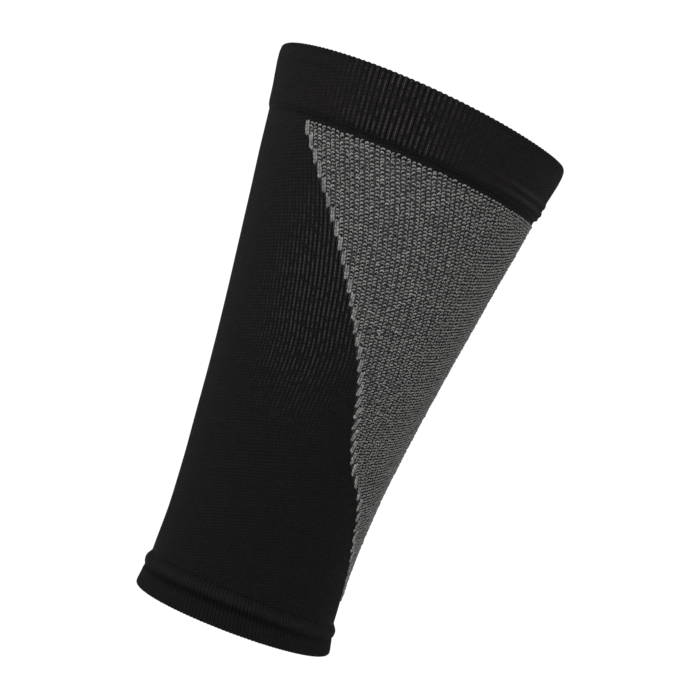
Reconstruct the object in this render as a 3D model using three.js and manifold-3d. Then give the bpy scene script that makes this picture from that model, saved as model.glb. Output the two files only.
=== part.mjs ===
// Calf compression sleeve in millimetres, +Z up along the leg, its front towards -Y.
// It keeps the round, tapered form that it has on a leg. The origin is on the leg's axis, halfway up the sleeve.
// Turns are degrees round the leg from the front, positive towards +X.

import * as THREE from 'three';
import { mergeVertices } from 'three/addons/utils/BufferGeometryUtils.js';
import Module from 'manifold-3d';

// Driving dimensions
const SLEEVE_LENGTH = 229.5;
const BAND_HEIGHT = 25.5;
const HEM_HEIGHT = 16;
const CALF_RADIUS = 60.3;        // outside of the body just under the band
const ANKLE_RADIUS = 40.6;       // outside of the body where it is narrowest
const BAND_STEP = 1;             // how far the band's lower edge stands out from the body
const BAND_FLARE = 3.3;          // how much wider the band is at its rim than at its lower edge
const HEM_FLARE = 2.75;          // how much wider the hem's end is than the narrowest body
const BODY_WALL = 1.3;
const BAND_WALL = 2.6;
const HEM_WALL = 2.2;
const RIM_ROLL = 4;              // height over which the band's rim rolls inwards
const SIDE_DIP = 2.4;            // how far the rim and the hem's fold drop at both sides of the leg
const PANEL_BELOW_BAND = 2.7;    // black knit left between the band and the grey panel
const PANEL_ABOVE_HEM = 6;       // black knit left between the grey panel's point and the hem
const PANEL_SPAN = 171;          // degrees round the leg, along the band
const PANEL_TEETH = 40;          // steps down each edge of the grey panel
const PIECE_GAP = 0.3;
const ROUND_STEPS = 60;

// How the sleeve bends from its ankle end to its rim: share of its length, shift towards +X as a share of the
// ankle's radius, degrees by which the left side is the higher one, share of the drop at the sides
const SLEEVE_LINE = [
    { height: 0, shift: 0.046, tilt: -0.4, dip: 0.15 },
    { height: 0.045, shift: 0.036, tilt: 1.3, dip: 1 },
    { height: 0.11, shift: 0.02, tilt: 1.6, dip: 0.7 },
    { height: 0.2, shift: 0.003, tilt: 1.7, dip: 0.2 },
    { height: 0.31, shift: -0.012, tilt: 1.8, dip: 0 },
    { height: 0.42, shift: -0.011, tilt: 1.9, dip: 0 },
    { height: 0.75, shift: -0.005, tilt: 2.1, dip: 0 },
    { height: 0.88, shift: 0, tilt: 2.3, dip: 0.5 },
    { height: 1, shift: 0, tilt: 3.35, dip: 0.75 },
];

// Body sections from the hem up: share of the body's height, share of the widening from ankle to calf
const BODY_SECTIONS = [
    { height: 0, widening: 0.03 },
    { height: 0.05, widening: 0.012 },
    { height: 0.1, widening: 0 },
    { height: 0.165, widening: 0.026 },
    { height: 0.23, widening: 0.062 },
    { height: 0.3, widening: 0.12 },
    { height: 0.4, widening: 0.214 },
    { height: 0.5, widening: 0.327 },
    { height: 0.6, widening: 0.455 },
    { height: 0.7, widening: 0.593 },
    { height: 0.8, widening: 0.731 },
    { height: 0.9, widening: 0.875 },
    { height: 1, widening: 1 },
];

// Outside of the hem from its end up: share of the hem's height, share of its flare
const HEM_SECTIONS = [
    { height: 0.08, flare: 1 },
    { height: 0.2, flare: 0.9 },
    { height: 0.34, flare: 0.78 },
    { height: 0.47, flare: 0.7 },
    { height: 0.57, flare: 0.56 },   // the groove over the turned edge
    { height: 0.66, flare: 0.74 },
    { height: 0.76, flare: 0.83 },   // the puffed fold
    { height: 0.86, flare: 0.68 },
    { height: 0.94, flare: 0.36 },
    { height: 1, flare: 0.18 },
];

// Outside of the band from its lower edge up: share of the band's height, share of its flare
const BAND_SECTIONS = [
    { height: 0.02, flare: -0.12 },
    { height: 0.07, flare: 0 },
    { height: 0.14, flare: 0.09 },
    { height: 0.21, flare: 0.17 },
    { height: 0.29, flare: 0.26 },
    { height: 0.38, flare: 0.38 },
    { height: 0.55, flare: 0.64 },
    { height: 0.72, flare: 0.88 },
];

// Small folds that push the band out at one side: turn and spread in degrees, height and reach as shares of
// the band's height, depth as a share of its wall
const BAND_FOLDS = [
    { turn: 84, spread: 34, height: 0.31, reach: 0.05, depth: 0.2 },
    { turn: 88, spread: 30, height: 0.16, reach: 0.05, depth: 0.26 },
    { turn: 94, spread: 26, height: 0.03, reach: 0.04, depth: 0.26 },
];

// Middle line of the grey panel, which turns with the knit: share of the panel's height above its point,
// turn in degrees
const PANEL_LINE = [
    { height: 0, turn: 88.5 },
    { height: 0.1, turn: 83.5 },
    { height: 0.2, turn: 77.5 },
    { height: 0.31, turn: 66 },
    { height: 0.43, turn: 64 },
    { height: 0.54, turn: 64.5 },
    { height: 0.68, turn: 59.3 },
    { height: 0.79, turn: 54.2 },
    { height: 0.9, turn: 47.4 },
    { height: 1, turn: 40.5 },
];

// Heights of the pieces
const HEM_END = -SLEEVE_LENGTH / 2;
const HEM_TOP = HEM_END + HEM_HEIGHT;
const BAND_EDGE = SLEEVE_LENGTH / 2 - BAND_HEIGHT;
const BAND_RIM = SLEEVE_LENGTH / 2;
const BODY_FOOT = HEM_TOP + PIECE_GAP;
const BODY_HEAD = BAND_EDGE - PIECE_GAP;
const PANEL_HEAD = BAND_EDGE - PANEL_BELOW_BAND;
const PANEL_POINT = HEM_TOP + PANEL_ABOVE_HEM;
const PANEL_HEIGHT = PANEL_HEAD - PANEL_POINT;

const wasm = await Module();
wasm.setup();

// Reads a table of sections between its rows
function readTable(table, column, height) {
    const next = table.findIndex((row) => row.height >= height);
    if (next === 0) return table[0][column];
    if (next < 0) return table[table.length - 1][column];
    const low = table[next - 1];
    const high = table[next];
    return THREE.MathUtils.mapLinear(height, low.height, high.height, low[column], high[column]);
}

// Points of a quarter ellipse from a start that is level with its centre to one that is above or below it
function roundedCorner(start, end, steps) {
    const points = [];
    for (let step = 0; step <= steps; step += 1) {
        const angle = (step / steps) * Math.PI / 2;
        const radius = end.radius + (start.radius - end.radius) * Math.cos(angle);
        const height = start.height + (end.height - start.height) * Math.sin(angle);
        points.push({ radius, height });
    }
    return points;
}

// A closed ring wall from an outline that runs up the outside and down the inside
function ringWall(outline) {
    const loop = [...outline, outline[0]].map((point) => new THREE.Vector2(point.radius, point.height));
    const ring = new THREE.LatheGeometry(loop, ROUND_STEPS);
    ring.rotateX(Math.PI / 2);
    ring.deleteAttribute('normal');
    ring.deleteAttribute('uv');
    return mergeVertices(ring, 0.001);
}

// Moves every vertex of a geometry to the place that a function gives for it
function reshape(geometry, place) {
    const position = geometry.attributes.position;
    const vertex = new THREE.Vector3();
    for (let index = 0; index < position.count; index += 1) {
        vertex.fromBufferAttribute(position, index);
        place(vertex);
        position.setXYZ(index, vertex.x, vertex.y, vertex.z);
    }
    return geometry;
}

// Bends a piece that is modelled round a straight axis to the line that the worn sleeve takes
function bendToLeg(geometry) {
    return reshape(geometry, (vertex) => {
        const share = (vertex.z - HEM_END) / SLEEVE_LENGTH;
        const shift = ANKLE_RADIUS * readTable(SLEEVE_LINE, 'shift', share);
        const slope = Math.tan(THREE.MathUtils.degToRad(readTable(SLEEVE_LINE, 'tilt', share)));
        const dip = SIDE_DIP * readTable(SLEEVE_LINE, 'dip', share);
        const sideways = vertex.x / Math.hypot(vertex.x, vertex.y);
        vertex.z -= vertex.x * slope + dip * sideways * sideways;
        vertex.x += shift;
    });
}

function toManifold(geometry) {
    return new wasm.Manifold(new wasm.Mesh({
        numProp: 3,
        vertProperties: Float32Array.from(geometry.attributes.position.array),
        triVerts: Uint32Array.from(geometry.index.array),
    }));
}

function toGeometry(manifold) {
    const mesh = manifold.getMesh();
    const geometry = new THREE.BufferGeometry();
    geometry.setAttribute('position', new THREE.BufferAttribute(mesh.vertProperties, 3));
    geometry.setIndex(new THREE.BufferAttribute(mesh.triVerts, 1));
    geometry.computeVertexNormals();
    return geometry;
}

// Body of the sleeve, a tapered tube between hem and band
function makeBody() {
    const outside = BODY_SECTIONS.map((row) => ({
        radius: ANKLE_RADIUS + row.widening * (CALF_RADIUS - ANKLE_RADIUS),
        height: BODY_FOOT + row.height * (BODY_HEAD - BODY_FOOT),
    }));
    const inside = outside.map((point) => ({ radius: point.radius - BODY_WALL, height: point.height }));
    return bendToLeg(ringWall([...outside, ...inside.reverse()]));
}

// Band, a double knit ring with a rolled rim and a few folds pushed out at one side
function foldDepth(turn, height) {
    let depth = 0;
    for (const fold of BAND_FOLDS) {
        const round = (turn - fold.turn) / fold.spread;
        const up = (height - fold.height) / fold.reach;
        depth += BAND_WALL * fold.depth * Math.exp(-round * round - up * up);
    }
    return depth;
}

function makeBand() {
    const edgeRadius = CALF_RADIUS + BAND_STEP;
    const rimRadius = edgeRadius + BAND_FLARE;
    const rimInside = rimRadius - BAND_WALL;
    const sections = BAND_SECTIONS.map((row) => ({
        radius: edgeRadius + row.flare * BAND_FLARE,
        height: BAND_EDGE + row.height * BAND_HEIGHT,
    }));
    const rimOutside = roundedCorner(
        { radius: rimRadius, height: BAND_RIM - RIM_ROLL },
        { radius: rimInside + BAND_WALL * 0.3, height: BAND_RIM }, 5);
    const outline = [
        { radius: edgeRadius - BAND_WALL * 0.5, height: BAND_EDGE },
        ...sections,
        ...rimOutside,
        { radius: rimInside, height: BAND_RIM - BAND_WALL * 0.3 },
        { radius: CALF_RADIUS - BODY_WALL, height: BAND_EDGE },
    ];
    const ring = reshape(ringWall(outline), (vertex) => {
        const radius = Math.hypot(vertex.x, vertex.y);
        if (radius < CALF_RADIUS) return;
        const turn = THREE.MathUtils.radToDeg(Math.atan2(vertex.x, -vertex.y));
        const height = (vertex.z - BAND_EDGE) / BAND_HEIGHT;
        const share = 1 + foldDepth(turn, height) / radius;
        vertex.x *= share;
        vertex.y *= share;
    });
    return bendToLeg(ring);
}

// Hem at the ankle, a turned edge with a groove and a puffed fold above it
function makeHem() {
    const endRadius = ANKLE_RADIUS + HEM_FLARE;
    const outside = HEM_SECTIONS.map((row) => ({
        radius: ANKLE_RADIUS + row.flare * HEM_FLARE,
        height: HEM_END + row.height * HEM_HEIGHT,
    }));
    const turnedEnd = roundedCorner(
        { radius: endRadius, height: outside[0].height },
        { radius: endRadius - HEM_WALL * 0.6, height: HEM_END }, 3).slice(1).reverse();
    const bodyInside = ANKLE_RADIUS + BODY_SECTIONS[0].widening * (CALF_RADIUS - ANKLE_RADIUS) - BODY_WALL;
    return bendToLeg(ringWall([
        ...turnedEnd,
        ...outside,
        { radius: bodyInside, height: HEM_TOP },
        { radius: endRadius - HEM_WALL, height: HEM_END + HEM_WALL * 0.3 },
    ]));
}

// One row of the grey panel as a sector that reaches through the wall, turned with the panel's middle line
function panelRow(row, margin) {
    const rowHeight = PANEL_HEIGHT / PANEL_TEETH;
    const foot = PANEL_POINT + row * rowHeight - margin;
    const overlap = row === PANEL_TEETH - 1 ? margin : PIECE_GAP;
    const head = PANEL_POINT + (row + 1) * rowHeight + overlap;
    const insideRadius = ANKLE_RADIUS - 2 * BODY_WALL - HEM_WALL;
    const outsideRadius = CALF_RADIUS + BAND_FLARE;
    const marginTurn = margin / ANKLE_RADIUS;
    const halfSpan = THREE.MathUtils.degToRad(PANEL_SPAN / 2) * (row + 0.6) / PANEL_TEETH + marginTurn;
    const front = -Math.PI / 2;
    const sector = new THREE.Shape();
    sector.absarc(0, 0, outsideRadius, front - halfSpan, front + halfSpan, false);
    sector.absarc(0, 0, insideRadius, front + halfSpan, front - halfSpan, true);
    sector.closePath();
    const slab = new THREE.ExtrudeGeometry(sector, {
        depth: head - foot,
        bevelEnabled: false,
        curveSegments: Math.max(2, Math.ceil(halfSpan * 8)),
    });
    slab.deleteAttribute('normal');
    slab.deleteAttribute('uv');
    const turnedSlab = reshape(mergeVertices(slab, 0.001), (vertex) => {
        vertex.z += foot;
        const share = (vertex.z - PANEL_POINT) / PANEL_HEIGHT;
        const turn = THREE.MathUtils.degToRad(readTable(PANEL_LINE, 'turn', share));
        vertex.applyAxisAngle(new THREE.Vector3(0, 0, 1), turn);
    });
    return toManifold(bendToLeg(turnedSlab));
}

function panelOutline(margin) {
    let outline = panelRow(0, margin);
    for (let row = 1; row < PANEL_TEETH; row += 1) {
        outline = outline.add(panelRow(row, margin));
    }
    return outline;
}

function knitMaterial(color, roughness) {
    return new THREE.MeshStandardMaterial({ color, roughness, metalness: 0 });
}

function addPiece(group, name, geometry, material) {
    const piece = new THREE.Mesh(geometry, material);
    piece.name = name;
    group.add(piece);
}

const sleeve = new THREE.Group();
const body = toManifold(makeBody());
addPiece(sleeve, 'top_band', makeBand(), knitMaterial(0x1d1c1e, 0.92));
addPiece(sleeve, 'leg_tube', toGeometry(body.subtract(panelOutline(PIECE_GAP))), knitMaterial(0x1b1a1b, 0.95));
addPiece(sleeve, 'calf_panel', toGeometry(body.intersect(panelOutline(0))), knitMaterial(0x686867, 0.9));
addPiece(sleeve, 'ankle_hem', makeHem(), knitMaterial(0x1a191a, 0.92));

export default sleeve;
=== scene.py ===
# %% [markdown]
# # A knitted calf compression sleeve
# The real sleeve is one tube of stretch knit: a thick ribbed cuff at the knee end, a black body that tapers
# to the ankle, a grey wedge of raised loops, and a turned hem. The imported model gives every size, so the
# script starts by loading it.

# %% Load the measured model
import math

import bpy
import numpy as np
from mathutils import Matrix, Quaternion, Vector


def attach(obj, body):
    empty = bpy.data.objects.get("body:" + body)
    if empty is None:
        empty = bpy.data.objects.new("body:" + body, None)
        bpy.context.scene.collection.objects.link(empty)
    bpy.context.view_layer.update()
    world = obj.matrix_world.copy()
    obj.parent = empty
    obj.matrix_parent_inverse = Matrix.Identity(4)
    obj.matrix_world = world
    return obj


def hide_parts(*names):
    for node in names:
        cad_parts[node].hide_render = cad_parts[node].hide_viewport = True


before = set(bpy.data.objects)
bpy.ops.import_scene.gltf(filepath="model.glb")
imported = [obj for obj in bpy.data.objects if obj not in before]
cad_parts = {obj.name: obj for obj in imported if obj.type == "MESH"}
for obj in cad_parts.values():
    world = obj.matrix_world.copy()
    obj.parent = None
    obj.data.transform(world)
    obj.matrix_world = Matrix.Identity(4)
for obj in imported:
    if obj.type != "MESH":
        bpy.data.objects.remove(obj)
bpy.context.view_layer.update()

MM = 0.001

# %% [markdown]
# ## The camera
# The photograph looks almost level at the sleeve from well back, and the sleeve leans to the right in it. The
# sleeve stands upright here, so the camera leans to the left instead. Its lens follows from how much of the
# picture the sleeve fills at that distance.

# %% Camera
CAMERA_DISTANCE = 823 * MM
CAMERA_HEIGHT = 19.6 * MM
CAMERA_SIDE = 7.6 * MM
AIM_HEIGHT = 7.4 * MM
LEAN = math.radians(21)
PICTURE_WIDTH = 294 * MM

camera_data = bpy.data.cameras.new("camera")
camera = bpy.data.objects.new("camera", camera_data)
bpy.context.scene.collection.objects.link(camera)
bpy.context.scene.camera = camera
camera_data.lens = camera_data.sensor_width * CAMERA_DISTANCE / PICTURE_WIDTH
camera.location = (CAMERA_SIDE, -CAMERA_DISTANCE, CAMERA_HEIGHT)
look = Vector((CAMERA_SIDE, 0, AIM_HEIGHT)) - camera.location
camera.rotation_mode = "QUATERNION"
camera.rotation_quaternion = look.to_track_quat("-Z", "Y") @ Quaternion((0, 0, 1), LEAN)
print("lens:", round(camera_data.lens, 1), "mm")

# %% [markdown]
# ## The form that the knit takes
# The finished cloth has to lie where the solids are, so the script works with the same named sizes and the
# same short tables of sections. The solids join their sections by straight lines. Here each table becomes
# a curve with its corners rounded off, because light shows every kink in a smooth cloth.

# %% Named sizes, in millimetres
SLEEVE_LENGTH = 229.5
BAND_HEIGHT = 25.5
HEM_HEIGHT = 16
CALF_RADIUS = 60.3
ANKLE_RADIUS = 40.6
BAND_STEP = 1
BAND_FLARE = 3.3
HEM_FLARE = 2.75
BODY_WALL = 1.3
BAND_WALL = 2.6
HEM_WALL = 2.2
RIM_ROLL = 4
SIDE_DIP = 2.4
PANEL_BELOW_BAND = 2.7
PANEL_ABOVE_HEM = 6

HEM_END = -SLEEVE_LENGTH / 2
HEM_TOP = HEM_END + HEM_HEIGHT
BAND_RIM = SLEEVE_LENGTH / 2
BAND_EDGE = BAND_RIM - BAND_HEIGHT
PANEL_HEAD = BAND_EDGE - PANEL_BELOW_BAND
PANEL_POINT = HEM_TOP + PANEL_ABOVE_HEM
BODY_HEIGHT = BAND_EDGE - HEM_TOP


# %% A curve through a table of sections
def curve_through(rows, rounding=0.04):
    """A function through a table's rows, whose corners are rounded off over that share of the height."""
    heights, values = np.array(rows, dtype=float).T
    step = 0.002
    fine = np.arange(-0.3, 1.3, step)
    level = np.interp(fine, heights, values)
    reach = max(1, int(rounding / step))
    weights = np.hanning(2 * reach + 1)
    padded = np.pad(level, reach, mode="edge")
    rounded = np.convolve(padded, weights / weights.sum(), mode="valid")
    return lambda height: np.interp(height, fine, rounded)


line_shift = curve_through([(0, 0.046), (0.045, 0.036), (0.11, 0.02), (0.2, 0.003), (0.31, -0.012),
                            (0.42, -0.011), (0.75, -0.005), (0.88, 0), (1, 0)])
line_tilt = curve_through([(0, -0.4), (0.045, 1.3), (0.11, 1.6), (0.2, 1.7), (0.31, 1.8), (0.42, 1.9),
                           (0.75, 2.1), (0.88, 2.3), (1, 3.35)])
line_dip = curve_through([(0, 0.15), (0.045, 1), (0.11, 0.7), (0.2, 0.2), (0.31, 0), (0.75, 0), (0.88, 0.5),
                          (1, 0.75)])
body_widening = curve_through([(0, 0.03), (0.05, 0.012), (0.1, 0), (0.165, 0.026), (0.23, 0.062),
                               (0.3, 0.12), (0.4, 0.214), (0.5, 0.327), (0.6, 0.455), (0.7, 0.593),
                               (0.8, 0.731), (0.9, 0.875), (1, 1), (1.1, 1.12)])


def body_radius(height):
    """Outside radius of the body at a height, in millimetres."""
    return ANKLE_RADIUS + (CALF_RADIUS - ANKLE_RADIUS) * body_widening((height - HEM_TOP) / BODY_HEIGHT)


def on_leg(turn, height, radius):
    """Places in metres for turns in radians, heights and radii in millimetres, bent to the leg's line."""
    share = (height - HEM_END) / SLEEVE_LENGTH
    across = radius * np.sin(turn)
    drop = across * np.tan(np.radians(line_tilt(share)))
    drop = drop + SIDE_DIP * line_dip(share) * np.sin(turn) ** 2
    places = (across + ANKLE_RADIUS * line_shift(share), -radius * np.cos(turn), height - drop)
    return np.stack(places, axis=-1) * MM


print("girth under the band:", round(2 * math.pi * float(body_radius(BAND_EDGE))), "mm")

# %% [markdown]
# ## The grid of stitches
# Knit is a grid: wales run up the sleeve and courses run round it. This one is twisted on the leg, so its
# wales lean to the left as they climb, and its courses rise to the right. Every pattern below asks this grid
# where a stitch lies: a wale number and a course number give a turn and a height.

# %% Wales and courses
WALES = 168
WALE_TURN = 2 * math.pi / WALES
COURSE_RISE = 67 / WALES       # courses that the knit climbs for each wale round the leg
POINT_COURSE = 1.15            # height of a course at the panel's point, in millimetres
COURSE_GROWTH = 0.000635       # how much taller each course is than the one under it
PANEL_WALES = 40               # wales on each side of the panel's middle line, at its head
EDGE_COURSES = 4               # courses in each step of the panel's left edge
RIGHT_COURSES = 3.2            # and on average in each step of its right edge

# The panel's middle line: its turn in degrees at shares of the height from the point to the head.
wale_line = curve_through([(-0.15, 94), (0, 88.5), (0.1, 83.5), (0.15, 78.8), (0.2, 77.5), (0.26, 74.7),
                           (0.31, 66), (0.37, 63.5), (0.43, 64.1), (0.48, 64.8), (0.54, 64.5), (0.6, 62),
                           (0.68, 59.3), (0.79, 54.2), (0.9, 47.4), (1, 40.5), (1.15, 39.5)])


def level_height(level):
    """Height of a level counted in courses above the panel's point."""
    return PANEL_POINT + level * (POINT_COURSE + COURSE_GROWTH * level)


known_levels = np.arange(-60, 200, 0.5)


def level_at(height):
    """The level that lies at a height, which is level_height the other way round."""
    return np.interp(height, level_height(known_levels), known_levels)


def turn_of(wale, height):
    """Turn round the leg of a wale counted from the panel's middle line."""
    share = (height - PANEL_POINT) / (PANEL_HEAD - PANEL_POINT)
    return wale * WALE_TURN + np.radians(wale_line(share))


HEAD_LEVEL = float(level_at(PANEL_HEAD))
print("courses from the panel's point to its head:", round(HEAD_LEVEL, 1))

# %% [markdown]
# ## Cloth from a flat sheet
# A circular machine knits a tube, and a flat sheet whose two side edges meet is the same cloth cut open. So
# each black piece starts as a plain grid with its own map. Its columns become wales and its rows run round
# the section of the wall: up the outside, over the edge and back down the inside, to the first row again.


# %% Tools for meshes
def clear_selection():
    bpy.ops.object.select_all(action="DESELECT")


def name_new(name):
    bpy.context.object.name = name
    return bpy.context.object


def places_of(mesh):
    places = np.empty(len(mesh.vertices) * 3)
    mesh.vertices.foreach_get("co", places)
    return places.reshape(-1, 3)


def put_places(mesh, places):
    mesh.vertices.foreach_set("co", np.ascontiguousarray(places, dtype=np.float32).ravel())
    mesh.update()


def keep_values(mesh, name, values):
    """Keeps one number for each vertex, for a material to read."""
    attribute = mesh.attributes.new(name, "FLOAT", "POINT")
    attribute.data.foreach_set("value", np.ascontiguousarray(values, dtype=np.float32))


def knit_tube(name, columns_per_wale, rows, wall):
    """A closed wall of knit. wall turns wales and shares of the rows into places, tones and a mask for the
    painted highlight on stretched cloth.
    """
    clear_selection()
    columns = WALES * columns_per_wale
    bpy.ops.mesh.primitive_grid_add(x_subdivisions=columns, y_subdivisions=rows, size=1, calc_uvs=True)
    sheet = name_new(name)
    mesh = sheet.data
    flat = places_of(mesh)
    wale = (flat[:, 0] + 0.5) * WALES
    along = flat[:, 1] + 0.5
    turn, height, radius, tone, stretch_highlight = wall(wale, along)
    put_places(mesh, on_leg(turn, height, radius))
    keep_values(mesh, "tone", tone)
    keep_values(mesh, "stretch_highlight", stretch_highlight)
    set_stitch_map(mesh, wale, height)
    bpy.ops.object.mode_set(mode="EDIT")
    bpy.ops.mesh.select_all(action="SELECT")
    bpy.ops.mesh.remove_doubles(threshold=0.02 * MM)
    bpy.ops.mesh.normals_make_consistent(inside=False)
    bpy.ops.object.mode_set(mode="OBJECT")
    bpy.ops.object.shade_smooth()
    print(name, len(mesh.polygons), "faces")
    return sheet


def set_stitch_map(mesh, wale, height):
    """A map that counts stitches: across in wales and up in courses."""
    corners = np.empty(len(mesh.loops), dtype=np.int32)
    mesh.loops.foreach_get("vertex_index", corners)
    course = level_at(height) - COURSE_RISE * wale
    stitch_map = mesh.uv_layers.active
    stitch_map.name = "stitches"
    stitch_map.data.foreach_set("uv", np.stack((wale[corners], course[corners]), axis=-1).ravel())


def rib_of(wale):
    """The raised middle of each wale: 0 in the groove between two wales and 1 on the crest."""
    return np.abs(np.sin(np.pi * wale))


def near(value, middle, spread):
    """A soft bump: 1 at the middle value, and almost 0 two spreads away from it."""
    return np.exp(-((value - middle) / spread) ** 2)


def degrees_of(turn):
    return np.degrees(np.angle(np.exp(1j * turn)))


# %% [markdown]
# ## The body
# The body is plain black knit, 1.3 mm thick. Its wales show only as faint ribs, so each wale gets one groove
# and a low crest as real shape, and the small stitches are left to the finish. The grey loops sit on this
# cloth later, so it runs on under the panel, a little deeper there. At the panel's right and low down the
# loops will be calm, which means in even rows, and more of the grey yarn shows between them.

# %% Where the panel lies
POINT_COURSES = 2              # courses left out at the very point, where the yarn is tied off
GROUND_BELOW_HEAD = 1.1        # courses between the panel's head and its ground's upper end
CALM_TURN, CALM_TURN_REACH = 32, 28    # degrees: from the first on, and wholly after the second
CALM_LEVEL, CALM_LEVEL_REACH = 75, 50  # courses: from the first down, and wholly after the second


def panel_share(wale, height):
    """1 where a stitch belongs to the grey panel and 0 where it doesn't."""
    level = level_at(height)
    course = level - COURSE_RISE * wale
    left = course + 1 > EDGE_COURSES * -wale
    right = course + 1 > RIGHT_COURSES * wale
    inside = left & right & (course > POINT_COURSES) & (level < HEAD_LEVEL - GROUND_BELOW_HEAD)
    return inside.astype(float)


def calm_of(turn, level):
    """1 where the loops are calm and 0 where they are not."""
    at_right = (degrees_of(turn) - CALM_TURN) / CALM_TURN_REACH
    low_down = (CALM_LEVEL - level) / CALM_LEVEL_REACH
    return np.clip(np.maximum(at_right, low_down), 0, 1)


# %% Body
BODY_RIB = 0.16
RIB_FADE = 20                  # the ribs fade out over a twentieth of the height at both ends
TUCK = 1.2                     # how far the body reaches into the band and the hem
UNDER_PANEL = 0.35
OUTSIDE_SHARE = 0.86           # share of the sheet's rows that become the outside
FOOT_TONE = 0.72               # how dark the cloth is at the ankle, where its stitches lie closest
LIP_SHADE = 0.6                # painted shade: how much darker the cloth is just under the band
STRETCH_HIGHLIGHT = 0.15            # painted highlight: how much lighter the cloth is at the calf's front, where it is stretched most and catches the light
FRONT_TURN, FRONT_SPREAD = -12, 20     # where that is, in degrees
FRONT_HEIGHT, FRONT_REACH = 28, 34     # and in millimetres
GROUND_TONE = 4.9              # how much lighter the ground under the loops is, for the grey yarn in it
CALM_GROUND = 0.45             # and how much more so where the loops are calm


def eased(share):
    """0 at the start and 1 from a sixteenth of the way on."""
    return np.sin(np.pi * np.clip(share * 8, 0, 0.5))


def body_wall(wale, along):
    up = np.clip(along / OUTSIDE_SHARE, 0, 1)
    down = np.clip((along - OUTSIDE_SHARE) / (1 - OUTSIDE_SHARE), 0, 1)
    outside = along <= OUTSIDE_SHARE
    foot, head = HEM_TOP - TUCK, BAND_EDGE + TUCK
    height = np.where(outside, foot + up * (head - foot), head + down * (foot - head))
    inside_share = eased(down) * eased(1 - down)
    rib_share = np.clip(RIB_FADE * np.minimum(up, 1 - up), 0, 1)
    turn = turn_of(wale, height)
    local = np.where(wale > WALES / 2, wale - WALES, wale)
    panel = panel_share(local, height)
    radius = body_radius(height) - rib_share * (BODY_RIB * (1 - rib_of(wale)) + UNDER_PANEL * panel)
    radius = np.where(outside, radius, body_radius(height) - BODY_WALL * inside_share)
    # painted highlight on the front of the calf, where the stretched cloth catches the light
    stretch_highlight = near(degrees_of(turn), FRONT_TURN, FRONT_SPREAD) * near(height, FRONT_HEIGHT, FRONT_REACH)
    tone = FOOT_TONE + (1 - FOOT_TONE) * up + STRETCH_HIGHLIGHT * stretch_highlight
    ground = GROUND_TONE * (1 + CALM_GROUND * calm_of(turn, level_at(height)))
    # painted shade just under the band, then the lighter ground where grey yarn shows under the loops
    tone = tone * (1 - LIP_SHADE * near(height, BAND_EDGE - 0.6, 1.3)) + ground * panel
    return turn, height, radius, np.where(outside, tone, 1), np.where(outside, stretch_highlight, 0)


body_knit = knit_tube("body_knit", 3, 128, body_wall)

# %% [markdown]
# ## The band
# The cuff is a double knit: twice as thick as the body, with a rolled rim on which every wale shows as a
# small bump. Three soft folds push it out at one side, where the leg bends, with painted light on each fold
# and painted shade under it. The wall is worked out as an outline of points, and the sheet's rows are spread
# evenly along it.


# %% Walls from an outline
def along_outline(outline, along):
    """Radius and height at shares of the way round an outline of (radius, height) points."""
    points = np.array(outline + [outline[0]], dtype=float)
    lengths = np.linalg.norm(np.diff(points, axis=0), axis=1)
    marks = np.concatenate(([0], np.cumsum(lengths))) / lengths.sum()
    return np.interp(along, marks, points[:, 0]), np.interp(along, marks, points[:, 1])


# %% Band
BAND_RIB = 0.17
RIM_BUMP = 0.4
RIM_RIGHT = 0.6                # how much higher the rim stands at its right end, in millimetres
RIM_LEFT = 0.25                # and how much lower at its left end
BAND_SECTIONS = [(-0.03, -0.35), (0.01, -0.14), (0.07, 0), (0.14, 0.09), (0.21, 0.17), (0.29, 0.26),
                 (0.38, 0.38), (0.55, 0.64), (0.72, 0.88), (0.86, 1)]
# the light of each fold is a painted highlight along its crest
BAND_FOLDS = [
    {"turn": 84, "spread": 30, "height": 0.27, "reach": 0.045, "depth": 0.22, "light": 2},
    {"turn": 88, "spread": 27, "height": 0.12, "reach": 0.045, "depth": 0.28, "light": 1.8},
    {"turn": 94, "spread": 26, "height": 0, "reach": 0.04, "depth": 0.28, "light": 0.3},
]
FOLD_SHADE = 0.4               # painted shade: how much darker the cloth is just under each fold
FOLD_SHADE_DROP = 0.075        # how far under it that is, as a share of the band's height
EDGE_SHADE = 0.65              # painted shade: how much darker the cloth is where it meets the body
RIM_SHADE = 0.25               # and painted shade just under the rim
CREASE_SHADE = 0.3             # and painted shade in the faint crease at the left
LEFT_SHADE = 0.12              # and painted shade all over the left
BAND_TONE = 1.06
RIB_HIGHLIGHT = 0.12             # painted highlight: how much lighter a rib's crest is than its groove
band_edge_radius = CALF_RADIUS + BAND_STEP
band_rim_radius = band_edge_radius + BAND_FLARE


def quarter(start, end, steps=6):
    """Points of a quarter ellipse between two (radius, height) points."""
    angles = np.linspace(0, math.pi / 2, steps)
    return [(end[0] + (start[0] - end[0]) * math.cos(a), start[1] + (end[1] - start[1]) * math.sin(a))
            for a in angles]


band_outside = [(band_edge_radius + flare * BAND_FLARE, BAND_EDGE + share * BAND_HEIGHT)
                for share, flare in BAND_SECTIONS]
band_top = quarter((band_rim_radius, BAND_RIM - RIM_ROLL + 2), (band_rim_radius - BAND_WALL / 2, BAND_RIM))
band_inner_top = quarter((band_rim_radius - BAND_WALL, BAND_RIM - RIM_ROLL / 2),
                         (band_rim_radius - BAND_WALL / 2, BAND_RIM))[::-1]
band_outline = [*band_outside, *band_top[1:], *band_inner_top[1:],
                (CALF_RADIUS - BODY_WALL, BAND_EDGE), (CALF_RADIUS, BAND_EDGE - 0.4)]


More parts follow.
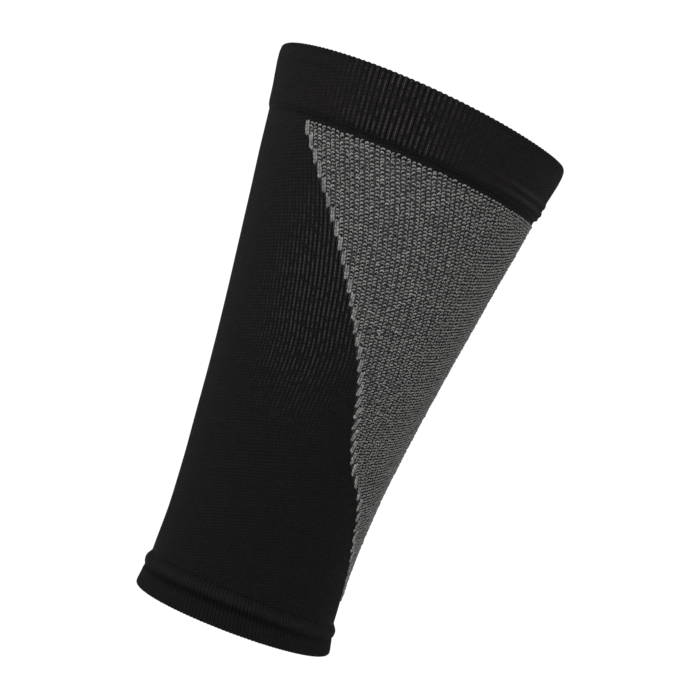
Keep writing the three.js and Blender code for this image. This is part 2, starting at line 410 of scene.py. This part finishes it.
def band_wall(wale, along):
    radius, height = along_outline(band_outline, along)
    share = (height - BAND_EDGE) / BAND_HEIGHT
    outside = radius > CALF_RADIUS + BAND_STEP * 0.5
    turn = turn_of(wale, height)
    degrees = degrees_of(turn)
    fold = sum(row["depth"] * near(degrees, row["turn"], row["spread"])
               * near(share, row["height"], row["reach"]) for row in BAND_FOLDS)
    # painted highlight on each fold's crest and painted shade just under it
    fold_highlight = sum(row["light"] * near(share, row["height"], 0.7 * row["reach"])
                     - FOLD_SHADE * near(share, row["height"] - FOLD_SHADE_DROP, 0.035) for row in BAND_FOLDS)
    rib = rib_of(wale) - 1
    rim = np.clip((height - BAND_RIM + RIM_ROLL / 2) / (RIM_ROLL / 2), 0, 1)
    radius = radius + np.where(outside, BAND_WALL * fold + BAND_RIB * rib, 0.4 * BAND_RIB * rib)
    rim_lift = RIM_BUMP * rib + RIM_RIGHT * near(degrees, 90, 30) - RIM_LEFT * near(degrees, -90, 30)
    height = height + rim * rim_lift
    crease = near(degrees, -45, 22) * near(share, 0.71, 0.025)
    # painted highlight where the band is stretched over the calf's front and catches the light
    stretch_highlight = near(degrees, -7, 17) * (0.55 - 0.3 * near(share, 0.62, 0.1))
    # painted light on the folds, painted shade in the crease, at the lower edge, under the rim and over the
    # left, and a painted highlight on the rib crests
    tone = BAND_TONE + fold_highlight * near(degrees, 62, 17) - CREASE_SHADE * crease
    tone = tone - EDGE_SHADE * near(share, -0.01, 0.05) - RIM_SHADE * near(share, 0.96, 0.06)
    tone = tone - LEFT_SHADE * near(degrees, -60, 30) + RIB_HIGHLIGHT * (rib_of(wale) - 0.6)
    return turn, height, radius, np.where(outside, tone, 0.9), np.where(outside, stretch_highlight, 0)


band_knit = knit_tube("band_knit", 4, 72, band_wall)

# %% [markdown]
# ## The hem
# The ankle end is turned in once. The turned edge flares out below a groove, and the cloth puffs out into
# a soft fold above it. The groove and the fold lie lower at both sides of the leg than at its front.

# %% Hem
HEM_RIB = 0.2
HEM_GROOVE = 0.57              # where the groove and the fold lie, as shares of the hem's height
HEM_FOLD = 0.78
HEM_TONE = 1.08
HEM_RIGHT_LIGHT = 0.14         # painted light: how much lighter the hem is at the right
HEM_RIB_SHADE = 0.9            # painted shade: how much darker it is between two ribs
# painted highlight on the fold, and painted shade in the groove
HEM_FOLD_LIGHT = 0.4
HEM_GROOVE_SHADE = 0.68
HEM_SECTIONS = [(0.06, 0.99), (0.12, 1), (0.2, 0.93), (0.34, 0.82), (0.45, 0.75), (0.52, 0.68),
                (HEM_GROOVE, 0.58), (0.62, 0.72), (0.68, 0.84), (HEM_FOLD, 0.86), (0.83, 0.74), (0.88, 0.54),
                (0.93, 0.34), (0.98, 0.2), (1.04, 0.12)]
hem_end_radius = ANKLE_RADIUS + HEM_FLARE
hem_outside = [(ANKLE_RADIUS + flare * HEM_FLARE, HEM_END + share * HEM_HEIGHT)
               for share, flare in HEM_SECTIONS]
hem_turn = quarter((hem_end_radius, HEM_END + 0.8), (hem_end_radius - HEM_WALL / 2, HEM_END))[::-1]
hem_inner_turn = quarter((hem_end_radius - HEM_WALL, HEM_END + 1.2), (hem_end_radius - HEM_WALL / 2, HEM_END))
hem_outline = [*hem_turn[1:], *hem_outside, (ANKLE_RADIUS - BODY_WALL, HEM_TOP + 0.4), *hem_inner_turn]


def hem_wall(wale, along):
    radius, height = along_outline(hem_outline, along)
    turn = turn_of(wale, height)
    rib = rib_of(wale) - 1
    end = np.clip(HEM_END + 1 - height, 0, 1)
    share = (height - HEM_END) / HEM_HEIGHT
    outside = radius > ANKLE_RADIUS
    right = near(degrees_of(turn), 60, 30)
    # painted light at the right and on the fold, painted shade between the ribs and in the groove
    tone = HEM_TONE + HEM_RIGHT_LIGHT * right + HEM_RIB_SHADE * rib
    tone = tone + HEM_FOLD_LIGHT * near(share, HEM_FOLD, 0.12)
    tone = tone - HEM_GROOVE_SHADE * (1 - 0.5 * right) * near(share, HEM_GROOVE, 0.1)
    return (turn, height - 0.15 * end * rib, radius + HEM_RIB * rib, np.where(outside, tone, 0.9),
            np.zeros_like(radius))


hem_knit = knit_tube("hem_knit", 4, 60, hem_wall)

# %% [markdown]
# ## One raised loop
# The panel is grey because a thick grey yarn stands up from the black cloth in small arches, and the dark
# cloth shows between them. One arch is modelled by hand: the upper half of a ring of yarn, whose two feet are
# pulled down into the cloth.

# %% Loop
WALE_PITCH = 2.2
COURSE_PITCH = 1.3
ARCH_RADIUS = 0.61
ARCH_WIDTH, ARCH_HEIGHT = 1.06, 0.86   # times the ring's own
YARN_RADIUS = 0.36
FOOT_LENGTH, FOOT_DEPTH = 0.5, 0.35    # how far the feet reach back down the wale and into the cloth
random = np.random.default_rng(11)


def select_points(mesh, wanted):
    """Selects the vertices that a mask names, from object mode."""
    mesh.vertices.foreach_set("select", wanted)
    mesh.edges.foreach_set("select", np.zeros(len(mesh.edges), dtype=bool))
    mesh.polygons.foreach_set("select", np.zeros(len(mesh.polygons), dtype=bool))


def make_loop(name):
    clear_selection()
    bpy.ops.mesh.primitive_torus_add(major_segments=10, minor_segments=4, major_radius=ARCH_RADIUS * MM,
                                     minor_radius=YARN_RADIUS * MM)
    loop = name_new(name)
    bpy.ops.object.mode_set(mode="EDIT")
    bpy.ops.mesh.select_all(action="SELECT")
    bpy.ops.mesh.bisect(plane_co=(0, 0, 0), plane_no=(0, 1, 0), clear_inner=True)
    bpy.ops.mesh.select_all(action="SELECT")
    bpy.ops.transform.resize(value=(ARCH_WIDTH, ARCH_HEIGHT, 1))
    bpy.ops.object.mode_set(mode="OBJECT")
    select_points(loop.data, places_of(loop.data)[:, 1] < 0.01 * MM)
    bpy.ops.object.mode_set(mode="EDIT")
    bpy.ops.mesh.select_mode(type="VERT")
    feet = (0, -FOOT_LENGTH * MM, -FOOT_DEPTH * MM)
    bpy.ops.mesh.extrude_region_move(TRANSFORM_OT_translate={"value": feet})
    bpy.ops.mesh.select_all(action="SELECT")
    bpy.ops.mesh.fill_holes(sides=4)
    bpy.ops.mesh.normals_make_consistent(inside=False)
    bpy.ops.object.mode_set(mode="OBJECT")
    bpy.ops.object.shade_smooth()
    return loop


# %% [markdown]
# ## A field of loops
# Array modifiers repeat the loop into a flat field of wales and courses. Then the loops outside the wedge are
# deleted, and each of the others gets a small turn, size and tone of its own, since no two are alike. Every
# other wale sits a little higher or lower, except where the loops are calm. Last, the flat field is laid on
# the leg through the grid of stitches.


# %% Fields of stitches
def apply_modifiers(piece):
    bpy.context.view_layer.objects.active = piece
    for modifier in list(piece.modifiers):
        bpy.ops.object.modifier_apply(modifier=modifier.name)


def field_of(stitch, wales, courses):
    """Repeats a stitch into rows and columns, one wale and one course apart."""
    for count, offset in ((wales, (WALE_PITCH * MM, 0, 0)), (courses, (0, COURSE_PITCH * MM, 0))):
        copies = stitch.modifiers.new("copies", "ARRAY")
        copies.count = count
        copies.use_relative_offset = False
        copies.use_constant_offset = True
        copies.constant_offset_displace = offset
    apply_modifiers(stitch)


def lay_field(piece, points, first_wale, wales, wanted, shape):
    """Keeps the wanted stitches of a field and lays them on the leg. shape gives each one its own form."""
    mesh = piece.data
    index = np.arange(len(mesh.vertices) // points)
    wale = first_wale + index % wales
    course = index // wales
    keep = wanted(wale, course)
    select_points(mesh, np.repeat(~keep, points))
    bpy.ops.object.mode_set(mode="EDIT")
    bpy.ops.mesh.select_mode(type="VERT")
    bpy.ops.mesh.delete(type="VERT")
    bpy.ops.object.mode_set(mode="OBJECT")
    wale, course = wale[keep], course[keep]
    flat = places_of(mesh).reshape(len(wale), points, 3) / MM
    flat[:, :, 0] -= ((wale - first_wale) * WALE_PITCH)[:, None]
    flat[:, :, 1] -= (course * COURSE_PITCH)[:, None]
    local, tone = shape(flat, wale, course)
    across = wale[:, None] + local[:, :, 0] / WALE_PITCH
    level = course[:, None] + local[:, :, 1] / COURSE_PITCH + COURSE_RISE * across
    height = level_height(level)
    turn = turn_of(across, height)
    put_places(mesh, on_leg(turn, height, body_radius(height) + local[:, :, 2]).reshape(-1, 3))
    keep_values(mesh, "tone", (tone * np.ones((1, points))).ravel())
    print(piece.name, len(wale), "stitches,", len(mesh.polygons), "faces")
    return piece


# %% Which stitches are grey
COURSES = 162
HEAD_DROP = 0.5                # courses between the panel's head and the last loops


def first_course_of(wale):
    """The lowest course of a wale inside the panel."""
    return np.where(wale < 0, EDGE_COURSES * -wale, np.ceil(RIGHT_COURSES * wale)).astype(int)


def top_course_of(wale):
    """Where a wale ends under the band, counted in courses."""
    return HEAD_LEVEL - HEAD_DROP - COURSE_RISE * wale


def in_panel(wale, course):
    return (course >= first_course_of(wale)) & (course < top_course_of(wale)) & (course > POINT_COURSES)


def in_edge(wale, course):
    return in_panel(wale, course) & (course < first_course_of(wale) + EDGE_COURSES) & (wale != 0)


# %% Grey loops
LOOP_LIFT = -0.08
STAGGER = 0.28                 # every other wale sits this much higher or lower, in millimetres
STAGGER_TURN = 0.2             # and its loops lean the other way
LOOP_LEAN = 0.3                # how much higher a loop's head stands than its feet, per millimetre
# painted shade at each loop's feet and a painted highlight on its head
LOOP_ROOT_SHADE = 0.7
LOOP_CREST_HIGHLIGHT = 1.07
OWN_TURN = 0.26                # how much the loops differ in turn, in radians
OWN_SHIFT = 0.12               # in place, in millimetres
OWN_LIFT = 0.09                # in height, in millimetres
OWN_TONE = 0.19                # and in tone
CALM_STEADY = 0.4              # share of these differences that goes where the loops are calm
CALM_GROWTH = 0.07             # how much larger calm loops are
CALM_ROOT = 0.16               # how much lighter their roots are, with less painted shade
CALM_CREST = 0.18              # and how much darker their crests are, with less painted highlight
HEAD_COURSES = 6               # courses under the head over which the loops close up to it


def shape_loops(flat, wale, course):
    """Gives each loop its own size, turn, place and tone, with painted shade at its feet and a painted
    highlight on its head.
    """
    count = len(wale)
    level = course + COURSE_RISE * wale
    calm = calm_of(turn_of(wale, level_height(level)), level)[:, None]
    differ = 1 - CALM_STEADY * calm
    size = random.uniform(0.9, 1.1, (count, 1)) * (1 + CALM_GROWTH * calm)
    pair = (wale % 2 * 2 - 1)[:, None] * (1 - calm)
    angle = STAGGER_TURN * pair + random.normal(0, OWN_TURN, (count, 1)) * differ
    top = top_course_of(wale)
    at_head = np.clip(1 - (np.ceil(top) - 1 - course) / HEAD_COURSES, 0, 1)[:, None]
    head_gap = (top - np.ceil(top) + 0.5)[:, None] * at_head
    x, y, z = (flat[:, :, axis] for axis in range(3))
    squeeze = random.uniform(0.85, 1.12, (count, 1))
    turned_x = (x * np.cos(angle) - y * np.sin(angle)) * size * squeeze
    turned_y = (x * np.sin(angle) + y * np.cos(angle)) * size
    shift_x = random.normal(0, OWN_SHIFT, (count, 1))
    own_y = random.normal(0, OWN_SHIFT, (count, 1)) * differ
    shift_y = STAGGER * pair * (1 - at_head) + COURSE_PITCH * head_gap + own_y
    lift = LOOP_LIFT + random.normal(0, OWN_LIFT, (count, 1))
    local = np.stack((turned_x + shift_x, turned_y + shift_y, z + lift + LOOP_LEAN * y), axis=-1)
    own_tone = np.clip(1 + random.normal(0, OWN_TONE, (count, 1)) * differ, 0.5, 1.6)
    # painted shade from the feet up to a painted highlight on the head
    head_share = np.clip((y + 0.55) / 1.1, 0, 1)
    root, crest = LOOP_ROOT_SHADE + CALM_ROOT * calm, LOOP_CREST_HIGHLIGHT - CALM_CREST * calm
    return local, own_tone * (root + (crest - root) * head_share)


def make_loops(name, first_wale, wales):
    loop = make_loop(name)
    points = len(loop.data.vertices)
    field_of(loop, wales, COURSES)

    def inner(wale, course):
        return in_panel(wale, course) & ~in_edge(wale, course)

    return lay_field(loop, points, first_wale, wales, inner, shape_loops)


loops_left = make_loops("panel_loops_left", -PANEL_WALES, PANEL_WALES)
loops_right = make_loops("panel_loops_right", 0, PANEL_WALES + 1)

# %% [markdown]
# ## The stepped edge
# Along both sides of the wedge the grey yarn lies flat for four courses in each wale before the loops begin.
# That makes the row of smooth, lighter steps. Each of these stitches is a V of two short strands, so one
# squashed ball is slanted and mirrored, and then repeated as the loop was.

# %% Edge stitches
STRAND_SIZE = (0.56, 0.95, 0.42)       # half its width, length and thickness, in millimetres
STRAND_SLANT = math.radians(-16)
EDGE_LIFT = 0.12
EDGE_JUT = 1.5                 # how far the foot of each step juts out near the point, in millimetres
JUT_COURSES = 55               # the jut fades out over this many courses
LENGTH_TONE = 0.25             # how much lighter a stitch gets with each millimetre up


def make_edge(name):
    clear_selection()
    bpy.ops.mesh.primitive_uv_sphere_add(segments=8, ring_count=6, radius=MM, location=(0.5 * MM, 0, 0))
    strand = name_new(name)
    strand.scale = STRAND_SIZE
    strand.rotation_euler = (0, 0, STRAND_SLANT)
    bpy.ops.object.transform_apply(location=True, rotation=True, scale=True)
    twin = strand.modifiers.new("twin", "MIRROR")
    twin.use_mirror_merge = False
    apply_modifiers(strand)
    bpy.ops.object.shade_smooth()
    return strand


def shape_edge(flat, wale, course):
    """Gives each V its own width, lift and tone, and sets its two strands a little apart in both."""
    count = len(wale)
    local = flat.copy()
    side = np.sign(local[:, :, 0])
    low = 1 - (course - first_course_of(wale)) / (EDGE_COURSES - 1)
    near_point = np.clip(1.5 - (course + COURSE_RISE * wale) / JUT_COURSES, 0, 1)
    local[:, :, 0] *= random.uniform(0.88, 1.1, (count, 1))
    local[:, :, 0] += (EDGE_JUT * (low - 0.35) * near_point * np.sign(wale))[:, None]
    local[:, :, 1] += side * random.normal(0, 0.2, (count, 1))
    local[:, :, 2] += EDGE_LIFT + random.normal(0, 0.06, (count, 1))
    side_tone = side * random.normal(0, 0.16, (count, 1))
    own_tone = random.normal(1.05, 0.16, (count, 1))
    return local, own_tone + side_tone + LENGTH_TONE * local[:, :, 1]


edge = make_edge("panel_edge")
edge_points = len(edge.data.vertices)
field_of(edge, 2 * PANEL_WALES + 1, COURSES)
panel_edge = lay_field(edge, edge_points, -PANEL_WALES, 2 * PANEL_WALES + 1, in_edge, shape_edge)

# %% [markdown]
# ## Light
# The photograph has soft light from all round and some more from the upper left. White surroundings give the
# first and one very wide sun gives the second. The surroundings look plain white to the camera, while the
# cloth gets less light from them. The picture keeps colours as they are, so plain white stays white. The
# floor lies so far below the sleeve that no shadow on it shows.

# %% Light and surroundings
ROOM_LIGHT = 0.54              # how strongly the surroundings light the cloth
ROOM_WHITE = 1.05              # and how bright they look to the camera
CEILING_POWER = 2.75
CEILING_SPREAD = math.radians(70)
CEILING_PLACE = (-0.36, -0.85, 0.8)
bpy.context.scene.view_settings.view_transform = "Standard"
world = bpy.data.worlds.new("white room")
bpy.context.scene.world = world
world.use_nodes = True
world.node_tree.nodes["Background"].inputs["Color"].default_value = (1, 1, 1, 1)
seen = world.node_tree.nodes.new("ShaderNodeLightPath")
strength = world.node_tree.nodes.new("ShaderNodeMapRange")
strength.inputs["To Min"].default_value = ROOM_LIGHT
strength.inputs["To Max"].default_value = ROOM_WHITE
world.node_tree.links.new(seen.outputs["Is Camera Ray"], strength.inputs["Value"])
world.node_tree.links.new(strength.outputs["Result"], world.node_tree.nodes["Background"].inputs["Strength"])


def aim(light, place):
    """Puts a light at a place and points it at the sleeve."""
    bpy.context.scene.collection.objects.link(light)
    light.location = place
    light.rotation_mode = "QUATERNION"
    light.rotation_quaternion = (-Vector(place)).to_track_quat("-Z", "Y")


ceiling = bpy.data.lights.new("ceiling", "SUN")
ceiling.energy = CEILING_POWER
ceiling.angle = CEILING_SPREAD
aim(bpy.data.objects.new("ceiling", ceiling), CEILING_PLACE)

# %% Floor
FLOOR_DROP = 200 * MM
clear_selection()
bpy.ops.mesh.primitive_plane_add(size=12, location=(0, 0, HEM_END * MM - FLOOR_DROP))
floor = name_new("floor")
floor_paint = bpy.data.materials.new("pale floor")
floor_paint.use_nodes = True
floor_paint.node_tree.nodes["Principled BSDF"].inputs["Base Color"].default_value = (0.98, 0.98, 0.98, 1)
floor_paint.node_tree.nodes["Principled BSDF"].inputs["Roughness"].default_value = 0.9
floor.data.materials.append(floor_paint)

# %% [markdown]
# ## Knit in the finish
# What is too small for real shape is drawn by the finish: each stitch is a V of two strands. One node group
# works out what shows at each place from the map that counts stitches: the height of the V, the rib, a
# number by chance for the whole stitch, and the light core of the yarn along the middle of a stretched wale.
# That core is partly a painted highlight on the wale's crest, and it comes with painted shade in the groove
# beside it.


# %% Tools for nodes
def new_group(name, inputs, outputs):
    group = bpy.data.node_groups.new(name, "ShaderNodeTree")
    for label, kind in inputs:
        group.interface.new_socket(label, in_out="INPUT", socket_type=kind)
    for label, kind in outputs:
        group.interface.new_socket(label, in_out="OUTPUT", socket_type=kind)
    return group, group.nodes.new("NodeGroupInput"), group.nodes.new("NodeGroupOutput")


def maths(tree, operation, first, second=None, third=None):
    """One Math node, fed by sockets or by plain numbers."""
    node = tree.nodes.new("ShaderNodeMath")
    node.operation = operation
    for slot, value in enumerate((first, second, third)):
        if value is None:
            continue
        if isinstance(value, (int, float)):
            node.inputs[slot].default_value = value
        else:
            tree.links.new(value, node.inputs[slot])
    return node.outputs[0]


# %% Stitch group: the V of a stitch
V_SLANT = 1.1                  # courses that a strand rises over the width of a wale
stitch_group, stitch_in, stitch_out = new_group(
    "plain stitches", [("Map", "NodeSocketVector")],
    [("Height", "NodeSocketFloat"), ("Chance", "NodeSocketFloat"), ("Rib", "NodeSocketFloat"),
     ("Core highlight and groove shade", "NodeSocketFloat")])


def stitch_maths(operation, *values):
    return maths(stitch_group, operation, *values)


split = stitch_group.nodes.new("ShaderNodeSeparateXYZ")
stitch_group.links.new(stitch_in.outputs["Map"], split.inputs[0])
across = stitch_maths("ABSOLUTE", stitch_maths("SUBTRACT", stitch_maths("FRACT", split.outputs["X"]), 0.5))
leaning = stitch_maths("SUBTRACT", split.outputs["Y"], stitch_maths("MULTIPLY", across, V_SLANT))
strand = stitch_maths("SINE", stitch_maths("MULTIPLY", across, 2 * math.pi))
loop_wave = stitch_maths("SINE", stitch_maths("MULTIPLY", stitch_maths("FRACT", leaning), math.pi))
stitch_group.links.new(stitch_maths("MULTIPLY", strand, loop_wave), stitch_out.inputs["Height"])
stitch_group.links.new(strand, stitch_out.inputs["Rib"])

# %% Stitch group: a number by chance for each stitch
cell = stitch_group.nodes.new("ShaderNodeCombineXYZ")
stitch_group.links.new(stitch_maths("FLOOR", split.outputs["X"]), cell.inputs["X"])
stitch_group.links.new(stitch_maths("FLOOR", leaning), cell.inputs["Y"])
chance = stitch_group.nodes.new("ShaderNodeTexWhiteNoise")
chance.noise_dimensions = "2D"
stitch_group.links.new(cell.outputs[0], chance.inputs["Vector"])
stitch_group.links.new(chance.outputs["Value"], stitch_out.inputs["Chance"])

# %% Stitch group: the light core along a wale, partly a painted highlight, with painted shade in its groove
CORE_SHARPNESS = 13            # how quickly the light falls off beside the middle of a wale
CORE_APART = 5.3               # how unlike two neighbouring wales are
CORE_CHANGE = 0.55             # how quickly the light changes from course to course
CORE_FROM, CORE_FULL = 0.38, 0.7       # noise at which the light sets in and is full
# painted shade in the groove between two wales
WALE_GROOVE_SHADE, GROOVE_START = 0.3, 0.09
core_place = stitch_group.nodes.new("ShaderNodeCombineXYZ")
apart = stitch_maths("MULTIPLY", stitch_maths("FLOOR", split.outputs["X"]), CORE_APART)
stitch_group.links.new(apart, core_place.inputs["X"])
stitch_group.links.new(stitch_maths("MULTIPLY", split.outputs["Y"], CORE_CHANGE), core_place.inputs["Y"])
core_noise = stitch_group.nodes.new("ShaderNodeTexNoise")
core_noise.noise_dimensions = "2D"
core_noise.inputs["Scale"].default_value = 1
core_noise.inputs["Detail"].default_value = 2
stitch_group.links.new(core_place.outputs[0], core_noise.inputs["Vector"])
core_share = stitch_group.nodes.new("ShaderNodeMapRange")
core_share.inputs["From Min"].default_value = CORE_FROM
core_share.inputs["From Max"].default_value = CORE_FULL
stitch_group.links.new(core_noise.outputs["Fac"], core_share.inputs["Value"])
crest = stitch_maths("MAXIMUM", stitch_maths("MULTIPLY_ADD", across, -CORE_SHARPNESS, 1), 0)
groove = stitch_maths("MAXIMUM", stitch_maths("MULTIPLY_ADD", across, WALE_GROOVE_SHADE, -GROOVE_START), 0)
core_highlight_and_groove_shade = stitch_maths("SUBTRACT", stitch_maths("MULTIPLY", crest, core_share.outputs["Result"]), groove)
stitch_group.links.new(core_highlight_and_groove_shade, stitch_out.inputs["Core highlight and groove shade"])
print("nodes in the stitch group:", len(stitch_group.nodes))

# %% [markdown]
# ## The finish of the black cloth
# Body, band and hem are knitted from the same black yarn, but the band has stronger ribs and the hem deeper
# grooves. So one function makes all three materials from the stitch group, each with its own strength of
# painted shade between stitches and ribs. The tone that every vertex keeps then adds painted shade in
# grooves, under folds and under the band, painted light on folds and crests, and a painted highlight where it
# is stretched.

# %% Black knit
STITCH_BUMP = 0.35             # height of the drawn stitches, in millimetres
TONE_RANGE = 8                 # the brightest tone that a material can take
MEAN_HEIGHT, MEAN_RIB = 0.4, 0.64      # means over a stitch, so that the strength of the painted shade doesn't change the mean shade
CHANCE_RANGE = 0.3             # how much the stitches differ in shade


def toned(tree, colour, tone):
    """A colour that is made brighter or darker by a tone."""
    mix = tree.nodes.new("ShaderNodeMix")
    mix.data_type = "RGBA"
    mix.inputs["A"].default_value = (0, 0, 0, 1)
    mix.inputs["B"].default_value = (*[TONE_RANGE * part for part in colour], 1)
    tree.links.new(maths(tree, "MULTIPLY", tone, 1 / TONE_RANGE), mix.inputs["Factor"])
    return mix.outputs["Result"]


def kept_value(tree, name):
    """The numbers that a mesh keeps for its vertices under a name."""
    node = tree.nodes.new("ShaderNodeAttribute")
    node.attribute_name = name
    return node.outputs["Fac"]


def knit_material(name, colour, stitch_shade, rib_shade, core_highlight_strength):
    """Black cloth with painted shade between its stitches and ribs, and the light cores of its stretched
    wales, partly a painted highlight.
    """
    paint = bpy.data.materials.new(name)
    paint.use_nodes = True
    tree = paint.node_tree
    shader = tree.nodes["Principled BSDF"]
    shader.inputs["Roughness"].default_value = 0.85
    shader.inputs["Specular IOR Level"].default_value = 0.08
    stitch_map = tree.nodes.new("ShaderNodeUVMap")
    stitch_map.uv_map = "stitches"
    stitches = tree.nodes.new("ShaderNodeGroup")
    stitches.node_tree = stitch_group
    tree.links.new(stitch_map.outputs[0], stitches.inputs["Map"])
    # painted shade between the stitches and between the ribs
    shade = maths(tree, "MULTIPLY_ADD", stitches.outputs["Height"], stitch_shade,
                  1 - MEAN_HEIGHT * stitch_shade - MEAN_RIB * rib_shade)
    shade = maths(tree, "MULTIPLY_ADD", stitches.outputs["Rib"], rib_shade, shade)
    own_shade = maths(tree, "MULTIPLY_ADD", stitches.outputs["Chance"], CHANCE_RANGE, 1 - CHANCE_RANGE / 2)
    shade = maths(tree, "MULTIPLY", shade, own_shade)
    # the light cores, partly a painted highlight, with painted shade in the grooves, where the cloth is
    # stretched
    core_highlight_and_groove_shade = maths(tree, "MULTIPLY", stitches.outputs["Core highlight and groove shade"], kept_value(tree, "stretch_highlight"))
    shade = maths(tree, "MULTIPLY_ADD", core_highlight_and_groove_shade, core_highlight_strength, shade)
    shade = maths(tree, "MULTIPLY", shade, kept_value(tree, "tone"))
    tree.links.new(toned(tree, colour, shade), shader.inputs["Base Color"])
    bump = tree.nodes.new("ShaderNodeBump")
    bump.inputs["Distance"].default_value = STITCH_BUMP * MM
    bump.inputs["Strength"].default_value = 1
    tree.links.new(stitches.outputs["Height"], bump.inputs["Height"])
    tree.links.new(bump.outputs["Normal"], shader.inputs["Normal"])
    return paint


body_paint = knit_material("black plain knit", (0.0064, 0.0058, 0.0061),
                           stitch_shade=1.2, rib_shade=0.2, core_highlight_strength=37)
band_paint = knit_material("black rib knit", (0.0068, 0.0059, 0.0064),
                           stitch_shade=0.5, rib_shade=0.4, core_highlight_strength=38)
hem_paint = knit_material("black hem knit", (0.0062, 0.0054, 0.0058),
                          stitch_shade=0.5, rib_shade=1.2, core_highlight_strength=0)
print("black materials:", [paint.name for paint in (body_paint, band_paint, hem_paint)])

# %% [markdown]
# ## The finish of the grey yarn
# The grey yarn is heathered: light and dark fibres are spun together. Its loops are real shape already, so
# the finish adds only the mottling and a little fuzz, both from one fine noise.

# %% Grey yarn
FUZZ_SCALE = 2600              # for each metre
FUZZ_RANGE = 0.8               # how much the fuzz changes the yarn's tone
FUZZ_BUMP = 0.1                # its height, in millimetres


def yarn_material(name, colour):
    """Soft grey yarn, heathered by a fine noise."""
    paint = bpy.data.materials.new(name)
    paint.use_nodes = True
    tree = paint.node_tree
    shader = tree.nodes["Principled BSDF"]
    shader.inputs["Roughness"].default_value = 0.8
    shader.inputs["Specular IOR Level"].default_value = 0.25
    place = tree.nodes.new("ShaderNodeTexCoord")
    fuzz = tree.nodes.new("ShaderNodeTexNoise")
    fuzz.inputs["Scale"].default_value = FUZZ_SCALE
    fuzz.inputs["Detail"].default_value = 2
    tree.links.new(place.outputs["Object"], fuzz.inputs["Vector"])
    shade = maths(tree, "MULTIPLY", kept_value(tree, "tone"),
                  maths(tree, "MULTIPLY_ADD", fuzz.outputs["Fac"], FUZZ_RANGE, 1 - FUZZ_RANGE / 2))
    tree.links.new(toned(tree, colour, shade), shader.inputs["Base Color"])
    bump = tree.nodes.new("ShaderNodeBump")
    bump.inputs["Distance"].default_value = FUZZ_BUMP * MM
    tree.links.new(fuzz.outputs["Fac"], bump.inputs["Height"])
    tree.links.new(bump.outputs["Normal"], shader.inputs["Normal"])
    return paint


loop_paint = yarn_material("grey looped yarn", (0.161, 0.163, 0.157))
edge_paint = yarn_material("grey flat yarn", (0.135, 0.1365, 0.131))
print("grey materials:", [paint.name for paint in (loop_paint, edge_paint)])

# %% [markdown]
# ## Dressing the sleeve
# Each knitted piece takes the place of a solid of the measured model. The three black pieces stand for one
# solid each, and the two fields of loops and the stepped edge stand for the panel together. All of them ride
# on the root, because nothing on the sleeve turns.

# %% Dress the sleeve
for piece, node, slot, paint in (
        (body_knit, "leg_tube", "body_knit", body_paint),
        (band_knit, "top_band", "band_knit", band_paint),
        (hem_knit, "ankle_hem", "hem_knit", hem_paint),
        (loops_left, "calf_panel", "panel_knit", loop_paint),
        (loops_right, "calf_panel", "panel_knit", loop_paint),
        (panel_edge, "calf_panel", "panel_knit", edge_paint)):
    piece.data.materials.clear()
    piece.data.materials.append(paint)
    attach(piece, "root")
    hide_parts(node)

# %% [markdown]
# ## The cloth's girth
# Off the leg the sleeve is slacker than on it. Laid flat and cut open, the body is about a fifth narrower
# than the girth that it stretches to here. This cell works out only the mean girth on the leg.

mean_girth = 2 * math.pi * float(np.mean(body_radius(np.linspace(HEM_TOP, BAND_EDGE, 50))))
